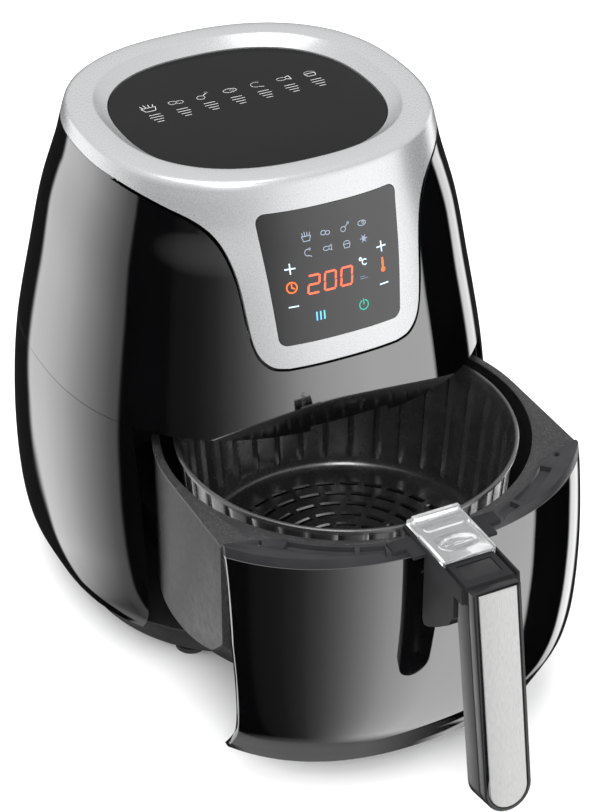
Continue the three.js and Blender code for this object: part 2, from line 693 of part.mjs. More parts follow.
class SpringCurve extends THREE.Curve {
  getPoint(t, target = new THREE.Vector3()) {
    const angle = t * 2 * Math.PI * 4;
    const z = 161.8 + 9.8 * t;
    return target.set(2.6 * Math.cos(angle), BUTTON_Y + 2.6 * Math.sin(angle), z);
  }
}
add('button_spring', tube(new SpringCurve(), 0.35, 24), 'steel', basket);

const guard = join(
  box(-17, 17, -166, -122, 177, 179),
  box(-16.8, -15, -165, -136, 173.2, 178),
  box(15, 16.8, -165, -136, 173.2, 178),
  box(-15, 15, -128.5, -125, 178, 183),
);
add('button_guard', guard, 'clear', basket);

export default fryer;
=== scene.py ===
import math

import bmesh
import bpy
from mathutils import Matrix, Vector


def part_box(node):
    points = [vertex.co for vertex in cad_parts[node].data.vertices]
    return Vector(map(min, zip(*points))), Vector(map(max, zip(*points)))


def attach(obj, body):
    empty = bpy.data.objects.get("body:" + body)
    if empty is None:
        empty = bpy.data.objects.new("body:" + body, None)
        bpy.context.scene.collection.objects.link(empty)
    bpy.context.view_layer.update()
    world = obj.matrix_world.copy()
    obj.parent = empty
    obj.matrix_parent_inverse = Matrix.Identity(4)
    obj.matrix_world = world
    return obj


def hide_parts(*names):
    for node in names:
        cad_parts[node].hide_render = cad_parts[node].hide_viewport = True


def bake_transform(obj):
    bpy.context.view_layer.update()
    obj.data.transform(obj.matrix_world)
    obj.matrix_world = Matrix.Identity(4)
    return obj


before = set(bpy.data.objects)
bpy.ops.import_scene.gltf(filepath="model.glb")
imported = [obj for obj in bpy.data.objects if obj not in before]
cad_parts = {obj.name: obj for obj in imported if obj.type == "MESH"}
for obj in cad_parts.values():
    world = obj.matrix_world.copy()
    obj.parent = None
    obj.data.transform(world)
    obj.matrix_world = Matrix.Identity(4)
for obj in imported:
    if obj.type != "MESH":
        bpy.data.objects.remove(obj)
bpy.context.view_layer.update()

# ---- Studio ---------------------------------------------------------------------------------
# A wide pale sheet under the appliance, a large soft light overhead, and round it a studio of
# bright screens and black boards, which the gloss mouldings mirror as upright bands.

MM = 0.001
floor_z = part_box("foot_front_left")[0].z

# Left to right round the appliance: [direction in degrees from +X, brightness of the screen]
SCREENS = [
    (-180, 0.0), (-154, 0.0), (-151, 0.02), (-135, 0.04), (-123, 0.10), (-118, 0.17), (-112, 0.25),
    (-108, 0.34), (-103, 0.46), (-98, 0.62), (-89, 1.0), (-80, 1.5), (-72, 1.8), (-60, 2.2),
    (-26, 2.1), (-24, 0.0), (12, 0.0), (15, 2.3), (28, 2.4), (32, 0.03), (108, 0.02), (111, 1.9),
    (119, 1.95), (132, 1.72), (142, 1.33), (155, 0.86), (167, 0.47), (173, 0.36), (175, 0.0),
    (180, 0.0),
]
SCREEN_PEAK = 2.5
# Brightness of what lies straight above, as mirrored and as it lights a dull surface, and below
OVERHEAD, OVERHEAD_ON_DULL, UNDERFOOT = 0.8, 0.9, 0.4


class Value:
    """A number that varies over a surface, kept as the socket that carries it."""

    def __init__(self, nodes, socket):
        self.nodes, self.socket = nodes, socket

    def reckon(self, operation, *others):
        return self.nodes.add("ShaderNodeMath", {"operation": operation}, {
            i: value for i, value in enumerate((self, *others))
        })

    def clamped(self, slope, start):
        """slope times the value, plus start, kept between 0 and 1."""
        ramp = self.reckon("MULTIPLY_ADD", slope, start)
        ramp.socket.node.use_clamp = True
        return ramp

    def __add__(self, other):
        return self.reckon("ADD", other)

    def __sub__(self, other):
        return self.reckon("SUBTRACT", other)

    def __mul__(self, other):
        return self.reckon("MULTIPLY", other)

    def __truediv__(self, other):
        return self.reckon("DIVIDE", other)

    def __rsub__(self, other):
        return self.nodes.number(other).reckon("SUBTRACT", self)

    __radd__ = __add__
    __rmul__ = __mul__


class Nodes:
    """The node tree of one finish."""

    def __init__(self, owner):
        owner.use_nodes = True
        self.tree = owner.node_tree

    def add(self, kind, settings=None, inputs=None, output=0):
        node = self.tree.nodes.new(kind)
        for key, setting in (settings or {}).items():
            if key == "stops":
                ramp = node.color_ramp
                while len(ramp.elements) < len(setting):
                    ramp.elements.new(1.0)
                for element, (place, colour) in zip(ramp.elements, setting):
                    element.position = place
                    element.color = colour if len(colour) == 4 else (*colour, 1)
            else:
                setattr(node, key, setting)
        for key, value in (inputs or {}).items():
            self.feed(node.inputs[key], value)
        return Value(self, node.outputs[output])

    def feed(self, socket, value):
        if isinstance(value, Value):
            self.tree.links.new(value.socket, socket)
        else:
            socket.default_value = value

    def number(self, value):
        held = self.add("ShaderNodeValue")
        held.socket.default_value = value
        return held


world = bpy.data.worlds.new("studio")
bpy.context.scene.world = world
sky = Nodes(world)
background = sky.tree.nodes["Background"]
way = sky.add("ShaderNodeTexCoord", output=0)
split = sky.tree.nodes.new("ShaderNodeSeparateXYZ")
sky.feed(split.inputs[0], way)
across, along, up = (Value(sky, split.outputs[i]) for i in range(3))
turn = along.reckon("ARCTAN2", across) / (2 * math.pi) + 0.5
screens = sky.add("ShaderNodeValToRGB", {"stops": [
    (min(0.9999, (angle + 180) / 360), (level / SCREEN_PEAK,) * 3) for angle, level in SCREENS
]}, {"Fac": turn})
bands = screens * SCREEN_PEAK
above = up.clamped(4.0, -0.1)
left = along.clamped(5.0, 0.0)
over_left_floor = up.clamped(6.5, 5.2)
over_floor = up.clamped(14.0, 13.7)
bands = bands * (1 - left * (1 - over_left_floor) * 0.8) * over_floor
bands = bands + (1 - over_floor) * UNDERFOOT
on_dull = sky.add("ShaderNodeLightPath", output="Is Diffuse Ray")
in_camera = sky.add("ShaderNodeLightPath", output="Is Camera Ray")
glow = bands * (1 - above) + above * (on_dull * OVERHEAD_ON_DULL + OVERHEAD)
sky.feed(background.inputs["Color"], glow * (1 - in_camera) + in_camera)
background.inputs["Strength"].default_value = 1.0

scene = bpy.context.scene
scene.view_settings.view_transform = "Standard"

camera_data = bpy.data.cameras.new("camera")
camera_data.sensor_width = 36.0
camera_data.lens = 108.2
camera_data.clip_end = 50.0
camera = bpy.data.objects.new("camera", camera_data)
scene.collection.objects.link(camera)
camera.matrix_world = Matrix((
    (0.8936, 0.2482, -0.3741, -0.56488),
    (-0.4489, 0.4940, -0.7446, -1.19762),
    (0.0, 0.8333, 0.5528, floor_z + 0.9879),
    (0, 0, 0, 1),
))
scene.camera = camera

paper = bpy.data.materials.new("paper")
paper_nodes = Nodes(paper)
grain = paper_nodes.add("ShaderNodeTexNoise", {}, {"Scale": 3.0, "Detail": 2.0})
paper_nodes.feed(
    paper_nodes.tree.nodes["Principled BSDF"].inputs["Base Color"],
    paper_nodes.add("ShaderNodeValToRGB", {
        "stops": [(0.3, (0.86, 0.86, 0.865)), (0.7, (0.89, 0.89, 0.895))],
    }, {"Fac": grain}),
)
paper_nodes.tree.nodes["Principled BSDF"].inputs["Roughness"].default_value = 0.9
sheet = bmesh.new()
bmesh.ops.create_grid(sheet, x_segments=2, y_segments=2, size=8.0)
bmesh.ops.translate(sheet, verts=sheet.verts, vec=(0, 0, floor_z - 0.0002))
sheet_mesh = bpy.data.meshes.new("floor")
sheet.to_mesh(sheet_mesh)
floor = bpy.data.objects.new("floor", sheet_mesh)
floor.data.materials.append(paper)
floor.visible_glossy = False
scene.collection.objects.link(floor)


def disk_light(name, size, energy, place, turned):
    data = bpy.data.lights.new(name, "AREA")
    data.shape, data.size, data.energy = "DISK", size, energy
    light = bpy.data.objects.new(name, data)
    light.location, light.rotation_euler = place, turned
    scene.collection.objects.link(light)


disk_light("overhead", 1.6, 22.0, (-0.5, -0.45, floor_z + 2.0), (0.0, -0.25, 0))
disk_light("key", 1.0, 18.0, (-0.9, -1.9, floor_z + 1.6),
           Vector((0.9, 1.77, -1.5)).to_track_quat("-Z", "Y").to_euler())

# ---- Upper shell ----------------------------------------------------------------------------
# The black upper moulding, injection moulded in gloss plastic: a rounded square in plan that
# narrows to the top, cut away in front for the silver shield and behind for the vent.
# Lengths are millimetres, and heights are above the floor, until a piece is put in its place.

SQUARENESS = 2.38
# Half-width of the housing from its lower edge to its top edge: [height, half-width]
GIRTH = [
    (16, 130.5), (28, 136), (43, 142), (70, 145.5), (110, 146.2), (150, 144), (182, 140),
    (233, 130.7), (273, 122.8), (308, 112.6), (323.5, 109), (331, 107), (334, 103.5),
]
SEAM_Z, HOUSING_TOP_Z = 182, 334
AROUND = 176
# From in front of the housing to its middle, as far as a cut through its front wall reaches
DRAWER_FRONT = (-170, -40)
BEHIND = (60, 160)
VENT = (-40, 40, 208, 262)


def half_width(z):
    z = min(max(z, GIRTH[0][0]), GIRTH[-1][0])
    i = next(n for n in range(1, len(GIRTH)) if GIRTH[n][0] >= z)
    (z0, w0), (z1, w1) = GIRTH[i - 1], GIRTH[i]
    slope = (w1 - w0) / (z1 - z0)

    def slope_at(n):
        if 0 < n < len(GIRTH) - 1:
            return (GIRTH[n + 1][1] - GIRTH[n - 1][1]) / (GIRTH[n + 1][0] - GIRTH[n - 1][0])
        return slope
    t, span = (z - z0) / (z1 - z0), z1 - z0
    if z0 >= 308:
        return w0 + slope * (z - z0)
    a, b = slope_at(i - 1), slope_at(i)
    return (
        w0 * (2 * t**3 - 3 * t**2 + 1) + a * span * (t**3 - 2 * t**2 + t)
        + w1 * (3 * t**2 - 2 * t**3) + b * span * (t**3 - t**2)
    )


def plan(z):
    """How deep the plan is for its width, and where its middle lies, at a height."""
    share = min(max((z - SEAM_Z) / (HOUSING_TOP_Z - SEAM_Z), 0), 1)
    return 1.008 - 0.04 * share, 1.2 - 4.2 * share


def spun(profile, steps=AROUND, middle_y=0.0, square=False):
    """Turns an outline of [radius, height] into a ring or a bowl."""
    bm = bmesh.new()
    points = [bm.verts.new((r, 0, z)) for r, z in profile]
    edges = [bm.edges.new(pair) for pair in zip(points, points[1:])]
    if profile[0][0] > 0 or profile[-1][0] > 0:
        edges.append(bm.edges.new((points[-1], points[0])))
    bmesh.ops.spin(
        bm, geom=points + edges, cent=(0, 0, 0), axis=(0, 0, 1), angle=2 * math.pi,
        steps=steps, use_merge=True,
    )
    bmesh.ops.remove_doubles(bm, verts=bm.verts, dist=1e-4)
    if square:
        for vert in bm.verts:
            r = math.hypot(vert.co.x, vert.co.y)
            ratio, middle = plan(vert.co.z)
            if r > 1e-6:
                c, s = vert.co.x / r, vert.co.y / r
                power = 2 / SQUARENESS
                vert.co.x = r * math.copysign(abs(c) ** power, c)
                vert.co.y = r * ratio * math.copysign(abs(s) ** power, s)
            vert.co.y += middle
    bmesh.ops.translate(bm, verts=bm.verts, vec=(0, middle_y, 0))
    bmesh.ops.recalc_face_normals(bm, faces=bm.faces)
    return bm


def heights(low, high, step=5.0):
    count = max(1, round((high - low) / step))
    return [low + (high - low) * i / count for i in range(count + 1)]


def housing_wall(low, high, wall=2.5, outset=0.0):
    levels = heights(low, high)
    outer = [(half_width(z) + outset, z) for z in levels]
    inner = [(half_width(z) - wall, z) for z in reversed(levels)]
    return spun(outer + inner, square=True)


def prism(outline, low, high, along="Y"):
    """Carries a flat outline along an axis: (x, z) along Y, (x, y) along Z, (y, z) along X."""
    put = {
        "Y": lambda u, v: (u, low, v), "Z": lambda u, v: (u, v, low), "X": lambda u, v: (low, u, v),
    }[along]
    step = {"Y": (0, high - low, 0), "Z": (0, 0, high - low), "X": (high - low, 0, 0)}[along]
    bm = bmesh.new()
    face = bm.faces.new([bm.verts.new(put(u, v)) for u, v in outline])
    raised = bmesh.ops.extrude_face_region(bm, geom=[face])["geom"]
    bmesh.ops.translate(
        bm, verts=[g for g in raised if isinstance(g, bmesh.types.BMVert)], vec=step,
    )
    bmesh.ops.recalc_face_normals(bm, faces=bm.faces)
    return bm


def rounded(x0, x1, y0, y1, r, steps=6):
    outline = []
    for cx, cy, start in ((x1 - r, y1 - r, 0), (x0 + r, y1 - r, 90), (x0 + r, y0 + r, 180),
                          (x1 - r, y0 + r, 270)):
        for i in range(steps + 1):
            angle = math.radians(start + 90 * i / steps)
            outline.append((cx + r * math.cos(angle), cy + r * math.sin(angle)))
    return outline


def flowing(points, pieces=5):
    """A smooth curve through the points of an open line."""
    ends = [points[0], *points, points[-1]]
    curve = []
    for p, q, r, s in zip(ends, ends[1:], ends[2:], ends[3:]):
        for i in range(pieces):
            t = i / pieces
            curve.append(tuple(
                0.5 * (2 * b + (c - a) * t + (2 * a - 5 * b + 4 * c - d) * t**2
                       + (3 * b - a - 3 * c + d) * t**3)
                for a, b, c, d in zip(p, q, r, s)
            ))
    return [*curve, points[-1]]


def worked(bm, *tools, operation="DIFFERENCE"):
    """Cuts tools out of a blank, keeps what they share, or welds them to it."""
    made = []
    for source in (bm, *tools):
        mesh = bpy.data.meshes.new("blank")
        source.to_mesh(mesh)
        source.free()
        made.append(bpy.data.objects.new("blank", mesh))
        scene.collection.objects.link(made[-1])
    for tool in made[1:]:
        cutter = made[0].modifiers.new("tool", "BOOLEAN")
        cutter.operation, cutter.solver, cutter.object = operation, "EXACT", tool
    bpy.context.view_layer.update()
    shape = made[0].evaluated_get(bpy.context.evaluated_depsgraph_get())
    result = bmesh.new()
    result.from_mesh(shape.to_mesh())
    shape.to_mesh_clear()
    for item in made:
        mesh = item.data
        bpy.data.objects.remove(item)
        bpy.data.meshes.remove(mesh)
    bmesh.ops.remove_doubles(result, verts=result.verts, dist=1e-3)
    bmesh.ops.dissolve_degenerate(result, edges=result.edges, dist=1e-3)
    return result


def soften(bm, width, angle=38, segments=2, where=None):
    """Rounds over the sharp edges of a moulding."""
    sharp = [
        edge for edge in bm.edges
        if len(edge.link_faces) == 2 and edge.calc_face_angle(0) > math.radians(angle)
        and (where is None or where(edge))
    ]
    bmesh.ops.bevel(
        bm, geom=sharp, offset=width, offset_type="OFFSET", affect="EDGES", segments=segments,
        profile=0.5, material=-1, clamp_overlap=True,
    )
    return bm


drawer_low, drawer_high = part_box("basket")
BASKET_Y = -18
DRAWER_SHIFT = (drawer_low.y + drawer_high.y) / 2 / MM - BASKET_Y


def form_normal(x, y, z):
    """Distance out from the housing's form, and the direction straight out of it."""
    def level(x, y, z):
        ratio, middle = plan(z)
        w = half_width(z)
        total = abs(x / w) ** SQUARENESS + abs((y - middle) / (w * ratio)) ** SQUARENESS
        return (total ** (1 / SQUARENESS) - 1) * w
    e = 0.4
    slope = Vector((
        level(x + e, y, z) - level(x - e, y, z),
        level(x, y + e, z) - level(x, y - e, z),
        level(x, y, z + e) - level(x, y, z - e),
    ))
    return level(x, y, z), slope.normalized()


def finish(bm, name, body, material, replaced, slid=False, smooth=32, on_form=False):
    """Puts a shaped blank in its place as a named piece that rides on a body, if one is named."""
    if slid:
        bmesh.ops.translate(bm, verts=bm.verts, vec=(0, DRAWER_SHIFT, 0))
    bmesh.ops.transform(
        bm, verts=bm.verts, matrix=Matrix.Translation((0, 0, floor_z)) @ Matrix.Scale(MM, 4),
    )
    mesh = bpy.data.meshes.new(name)
    bm.to_mesh(mesh)
    bm.free()
    mesh.shade_smooth()
    mesh.set_sharp_from_angle(angle=math.radians(smooth))
    if on_form:
        shift = DRAWER_SHIFT if slid else 0
        at = {}
        for vert in mesh.vertices:
            x, y, z = vert.co.x / MM, vert.co.y / MM - shift, (vert.co.z - floor_z) / MM
            distance, out = form_normal(x, y, min(max(z, 17.5), 330))
            if abs(distance) < 0.25 and z < 331.2:
                at[vert.index] = out
        normals = [Vector((0, 0, 0))] * len(mesh.loops)
        for face in mesh.polygons:
            for loop in face.loop_indices:
                out = at.get(mesh.loops[loop].vertex_index)
                if out is not None and face.normal.dot(out) > 0.8:
                    normals[loop] = out
        mesh.normals_split_custom_set(normals)
    mesh.materials.append(material)
    piece = bpy.data.objects.new(name, mesh)
    scene.collection.objects.link(piece)
    if body:
        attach(piece, body)
    if replaced:
        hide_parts(*replaced)
    return piece


class Finish(Nodes):
    """A named material with its Principled shader and a pattern fixed to the piece."""

    def __init__(self, name, colour, roughness, metallic=0.0, **fixed):
        self.material = bpy.data.materials.new(name)
        super().__init__(self.material)
        self.shader = self.tree.nodes["Principled BSDF"]
        self.place = self.add("ShaderNodeTexCoord", output="Object")
        for socket, value in {
            "Base Color": (*colour, 1), "Roughness": roughness, "Metallic": metallic, **fixed,
        }.items():
            self.shader.inputs[socket].default_value = value

    def noise(self, scale, detail=2.0, roughness=0.5, stretch=None):
        place = self.place
        if stretch:
            place = self.add("ShaderNodeMapping", {}, {"Vector": place, "Scale": stretch})
        return self.add("ShaderNodeTexNoise", {}, {
            "Vector": place, "Scale": scale, "Detail": detail, "Roughness": roughness,
        })

    def cells(self, scale, output="Distance"):
        return self.add("ShaderNodeTexVoronoi", {}, {"Vector": self.place, "Scale": scale}, output)

    def between(self, factor, low, high, start=0.3, stop=0.7):
        """A number that runs from low to high as the pattern goes from start to stop."""
        return self.add("ShaderNodeMapRange", {}, {
            "Value": factor, "From Min": start, "From Max": stop, "To Min": low, "To Max": high,
        })

    def tint(self, factor, low, high, start=0.3, stop=0.7):
        return self.add("ShaderNodeValToRGB", {"stops": [(start, low), (stop, high)]},
                        {"Fac": factor})

    def colour(self, value):
        self.feed(self.shader.inputs["Base Color"], value)

    def roughness(self, value):
        self.feed(self.shader.inputs["Roughness"], value)

    def relief(self, value, strength, distance=0.0001):
        self.feed(self.shader.inputs["Normal"], self.add("ShaderNodeBump", {}, {
            "Height": value, "Strength": strength, "Distance": distance,
        }))


gloss = Finish("gloss_black", (0.006, 0.006, 0.0068), 0.03, IOR=2.3)
gloss.roughness(gloss.between(gloss.noise(22, 3), 0.022, 0.05))
gloss.colour(gloss.tint(gloss.noise(9, 2), (0.0016, 0.0016, 0.0018), (0.0024, 0.0024, 0.0027)))

# Right half of the shield under the silver ring, from the ring down to the centre line
SHIELD_SIDE = [
    (104, 323.4), (97, 321), (88, 317.2), (77.5, 312.4), (70, 306.5), (65, 299.5), (61.5, 291),
    (58.8, 280), (57.2, 268), (56, 255), (54, 240), (50.5, 231), (44, 225), (35, 223),
]


def shield_outline(grow):
    side = flowing([(x + grow * (1 if z > 240 else 0.7), z - grow) for x, z in SHIELD_SIDE])
    half = [(130, 345), (130, 323.4 - grow), *side]
    return half + [(-x, z) for x, z in reversed(half)]


upper = worked(
    housing_wall(SEAM_Z, 323.2),
    prism(shield_outline(1.6), *DRAWER_FRONT),
    prism(rounded(-26, 26, 170, 185, 1.2), *DRAWER_FRONT),
    prism(rounded(*VENT, 5), *BEHIND),
)
finish(soften(upper, 0.5), "upper_shell_moulding", "housing", gloss.material,
       ["upper_shell"], on_form=True)

# ---- Lower shell ----------------------------------------------------------------------------
# The gloss lower moulding, open in front for the drawer, with a round hole at the back for the
# cord gland.

opening = [(118.4, 200), (-118.4, 200), (-118.4, 120), (-114.5, 0), (114.5, 0), (118.4, 120)]
GLAND_X, GLAND_Z = -52, 62


def rod(radius, low, high, x=0.0, y=0.0, z=0.0, along="Z", steps=32):
    """A round bar from low to high along an axis."""
    ring = [
        (radius * math.cos(2 * math.pi * i / steps), radius * math.sin(2 * math.pi * i / steps))
        for i in range(steps)
    ]
    off = {"Z": (x, y), "Y": (x, z), "X": (y, z)}[along]
    return prism([(u + off[0], v + off[1]) for u, v in ring], low, high, along)


lower = worked(
    housing_wall(28, SEAM_Z - 0.3),
    prism(opening, *DRAWER_FRONT),
    rod(7, 90, 170, x=GLAND_X, z=GLAND_Z, along="Y"),
)
finish(soften(lower, 0.5), "lower_shell_moulding", "housing", gloss.material,
       ["lower_shell"], on_form=True)

# ---- Rear vent ------------------------------------------------------------------------------
# A matt moulding clipped into the back of the upper shell, with six long slots for the air
# that the cooling fan draws over the motor.

matt = Finish("matt_black", (0.017, 0.017, 0.018), 0.55, IOR=1.47)
matt.relief(matt.cells(1900), 0.35, 0.00012)
matt.roughness(matt.between(matt.noise(120, 3), 0.48, 0.62))
matt.colour(matt.tint(matt.noise(35, 3), (0.014, 0.014, 0.015), (0.022, 0.022, 0.023)))

VENT_GAP = 0.3
left_x, right_x, low_z, high_z = VENT
vent = worked(
    worked(
        housing_wall(200, 270),
        prism(rounded(left_x + VENT_GAP, right_x - VENT_GAP, low_z + VENT_GAP, high_z - VENT_GAP,
                      4.7), *BEHIND),
        operation="INTERSECT",
    ),
    *[prism(rounded(-34, 34, z, z + 4, 1.9), *BEHIND) for z in (212.5 + 8.2 * i for i in range(6))],
)
finish(soften(vent, 0.35), "rear_vent_grille", "housing", matt.material,
       ["rear_vent"], on_form=True)

# ---- Base, feet and cord gland --------------------------------------------------------------
# The base is a matt tray that closes the housing below, with air slots and four soft feet
# pressed into it. The gland is a rubber collar round the hole that the supply cord leaves by.

base = worked(
    spun([(0, 4), (117.5, 4), (119, 5), (122, 8), (128, 27.6), (0, 27.6)], square=True),
    spun([(0, 7), (116.5, 7), (119.5, 11), (125, 30), (0, 30)], square=True),
    *[prism(rounded(x - 3, x + 3, -40, 40, 2.9), 0, 10, "Z") for x in (-45, -27, -9, 9, 27, 45)],
)
finish(soften(base, 0.3, 45), "base_tray", "housing", matt.material,
       ["base_plate"])

rubber = Finish("rubber", (0.018, 0.018, 0.018), 0.82)
rubber.relief(rubber.noise(900, 3), 0.3)
rubber.roughness(rubber.between(rubber.noise(200, 2), 0.75, 0.9))

for side_y in ("front", "rear"):
    for side_x in ("left", "right"):
        node = f"foot_{side_y}_{side_x}"
        low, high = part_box(node)
        foot = spun([(0, 0.0), (9.2, 0.0), (10, 0.7), (10, 3.7), (0, 3.7)], 40)
        bmesh.ops.translate(foot, verts=foot.verts, vec=(
            (low.x + high.x) / 2 / MM, (low.y + high.y) / 2 / MM, 0,
        ))
        finish(foot, node + "_pad", "housing", rubber.material, [node])

gland = spun([
    (3.5, 126), (6.6, 126), (6.6, 143.6), (9.5, 143.6), (9.5, 145.2), (8.9, 145.8), (8.9, 146.6),
    (9.3, 147.2), (8.8, 148.6), (8.2, 149), (4.4, 149), (3.5, 148.2),
], 40)
bmesh.ops.rotate(gland, verts=gland.verts, cent=(0, 0, 0), matrix=Matrix.Rotation(
    -math.pi / 2, 3, "X"))
bmesh.ops.translate(gland, verts=gland.verts, vec=(GLAND_X, 0, GLAND_Z))
finish(gland, "cord_gland_collar", "housing", rubber.material, ["cord_gland"])

# ---- Silver bezel ---------------------------------------------------------------------------
# One moulding in satin silver lacquer: the raised ring round the top, its sloped inner lip,
# and the shield that runs down the front and frames the control lens.

silver = Finish("satin_silver", (0.47, 0.475, 0.48), 0.3, 0.6, IOR=1.5)
flake = silver.cells(5200, "Color")
silver.colour(silver.tint(flake, (0.455, 0.46, 0.465), (0.465, 0.47, 0.475), 0.2, 0.8))
silver.roughness(silver.between(silver.noise(700, 2), 0.265, 0.295))


def lens_outline(grow, r=5.5):
    top, bottom, top_x, bottom_x = 314.5 + grow, 237 - grow, 44.6 + grow, 39.6 + grow
    outline = []
    for cx, cz, start in ((bottom_x - r, bottom + r, -90), (top_x - r, top - r, 0),
                          (r - top_x, top - r, 90), (r - bottom_x, bottom + r, 180)):
        for i in range(9):
            angle = math.radians(start + 90 * i / 8)
            outline.append((cx + r * math.cos(angle), cz + r * math.sin(angle)))
    return outline


ring = spun([
    (109, 323.5), (108.4, 326), (107.7, 328.5), (107, 331), (106.3, 332.3), (105, 333.4),
    (103, 334), (97, 334.0), (91, 334), (89.8, 333.7), (89, 333), (87.2, 331.4), (81.5, 327.6),
    (81.5, 324.3), (103, 324.3), (105, 323.5),
], square=True)
shield = worked(housing_wall(221, 326, 3.2), prism(shield_outline(0), *DRAWER_FRONT),
                operation="INTERSECT")
bezel = worked(worked(ring, shield, operation="UNION"),
               prism(lens_outline(0.3), *DRAWER_FRONT))
soften(bezel, 0.6, 38, 2, lambda edge: edge.verts[0].co.z < 322.5 and edge.verts[1].co.z < 322.5)
finish(bezel, "top_bezel_moulding", "housing", silver.material, ["top_bezel"],
       on_form=True)

# ---- Top panel ------------------------------------------------------------------------------
# A dark polished plate let into the ring, with a row of faint printed pictures of food over
# short ruled lines, as a setting guide.

smoked = Finish("smoked_plate", (0.012, 0.012, 0.013), 0.06, IOR=1.16)
smoked.roughness(smoked.between(smoked.noise(18, 3), 0.05, 0.085))
smoked.colour(smoked.tint(smoked.noise(7), (0.0045, 0.0045, 0.005), (0.007, 0.007, 0.0075)))
plate = spun([(0, 325), (80.6, 325), (81.2, 325.5), (81.2, 326.5), (80.7, 327), (0, 327)],
             square=True)
finish(plate, "top_panel_plate", "housing", smoked.material, ["top_panel"])


def ink(name, colour, strength=0.0):
    """Printed ink, or a printed symbol lit from behind."""
    paint = Finish(name, colour, 0.5)
    paint.colour(paint.tint(paint.noise(900), tuple(c * 0.85 for c in colour), colour))
    paint.shader.inputs["Emission Color"].default_value = (*colour, 1)
    paint.shader.inputs["Emission Strength"].default_value = strength
    return paint.material


def arc(cx, cy, r, start=0, stop=360, steps=14, squash=1.0):
    return [
        (cx + r * math.cos(math.radians(start + (stop - start) * i / steps)),
         cy + squash * r * math.sin(math.radians(start + (stop - start) * i / steps)))
        for i in range(steps + 1)
    ]


# Each picture is a few pen strokes in a square from -1 to 1
PICTURES = {
    "fries": [[(-0.9, 0.1), (-0.6, -0.8), (0.6, -0.8), (0.9, 0.1), (-0.9, 0.1)],
              [(-0.6, 0.1), (-0.8, 0.7)], [(-0.2, 0.1), (-0.3, 0.9)], [(0.2, 0.1), (0.25, 0.8)],
              [(0.6, 0.1), (0.8, 0.7)]],
    "nuggets": [arc(-0.4, 0.05, 0.5, squash=0.8), arc(0.45, -0.1, 0.45, squash=0.8)],
    "drumstick": [arc(-0.35, -0.2, 0.5, squash=0.9), [(0.0, 0.1), (0.7, 0.65)],
                  arc(0.75, 0.75, 0.18)],
    "steak": [arc(0, 0, 0.85, squash=0.55), arc(0.25, 0.05, 0.22)],
    "prawn": [arc(-0.1, 0.0, 0.6, 40, 290), [(0.0, -0.55), (0.6, -0.8)], arc(0.35, 0.6, 0.15)],
    "fish": [arc(-0.2, 0, 0.6, 20, 340, squash=0.6), [(0.35, 0.2), (0.9, 0.5), (0.9, -0.5),
             (0.35, -0.2)]],
    "cake": [[(-0.7, -0.1), (-0.5, -0.8), (0.5, -0.8), (0.7, -0.1), (-0.7, -0.1)],
             arc(0, -0.1, 0.7, 0, 180, squash=0.8)],
    "frost": [[(-0.7, 0), (0.7, 0)], [(-0.35, -0.6), (0.35, 0.6)], [(-0.35, 0.6), (0.35, -0.6)],
              arc(0, 0, 0.35)],
}


def drawn(strokes, thickness, onto):
    """Lays thin flat strokes on a surface; onto turns (u, v) into a place in millimetres."""
    whole = bmesh.new()
    half = thickness / 2
    for stroke in strokes:
        for (u0, v0), (u1, v1) in zip(stroke, stroke[1:]):
            length = math.hypot(u1 - u0, v1 - v0) or 1e-6
            du, dv = (u1 - u0) / length * half, (v1 - v0) / length * half
            corners = [(u0 - du - dv, v0 - dv + du), (u0 - du + dv, v0 - dv - du),
                       (u1 + du + dv, v1 + dv - du), (u1 + du - dv, v1 + dv + du)]
            face = whole.faces.new([whole.verts.new(onto(u, v)) for u, v in corners])
            face.normal_update()
    return whole


def raised(bm, out, lift=0.08):
    """Gives flat strokes a hair of thickness, so that each is a closed slip of ink."""
    grown = bmesh.ops.extrude_face_region(bm, geom=bm.faces[:])["geom"]
    bmesh.ops.translate(
        bm, verts=[g for g in grown if isinstance(g, bmesh.types.BMVert)],
        vec=tuple(lift * n for n in out),
    )
    bmesh.ops.recalc_face_normals(bm, faces=bm.faces)
    return bm


GUIDE_ORDER = ["fries", "nuggets", "drumstick", "steak", "prawn", "fish", "cake"]
guide = []
for i, picture in enumerate(GUIDE_ORDER):
    x = -54 + 18 * i
    guide += [[(x + 5.2 * u, 22 + 5.2 * v) for u, v in stroke] for stroke in PICTURES[picture]]
    for line, length in enumerate((7, 8, 6, 4)):
        y = 12.5 - 3.1 * line
        guide.append([(x - length / 2, y), (x + length / 2, y)])
pale_ink = ink("pale_ink", (0.55, 0.55, 0.55))
finish(raised(drawn(guide, 0.42, lambda u, v: (u, v, 327.0)), (0, 0, 1)), "top_panel_guide",
       "housing", pale_ink, [])

# ---- Control lens and its display -----------------------------------------------------------
# A curved gloss lens set flush in the shield. Behind it lie the lit figures of the display and
# the symbols of the touch areas, drawn here as slips of ink a hair proud of the lens.

lens_finish = Finish("control_lens", (0.006, 0.006, 0.0065), 0.07, IOR=1.6)
lens_finish.roughness(lens_finish.between(lens_finish.noise(30), 0.06, 0.1))
lens_finish.colour(lens_finish.tint(lens_finish.noise(12), (0.0055, 0.0055, 0.006),
                                    (0.008, 0.008, 0.0085)))
lens = worked(housing_wall(233, 320, 3.2), prism(lens_outline(0), *DRAWER_FRONT),
              operation="INTERSECT")
finish(soften(lens, 0.4), "control_lens_cover", "housing", lens_finish.material,
       ["control_lens"], on_form=True)


def lens_point(u, v):
    """The place on the front of the housing straight in from (x, height)."""
    ratio, middle = plan(v)
    w = half_width(v)
    reach = (1 - abs(u / w) ** SQUARENESS) ** (1 / SQUARENESS)
    return u, middle - w * ratio * reach - 0.03, v


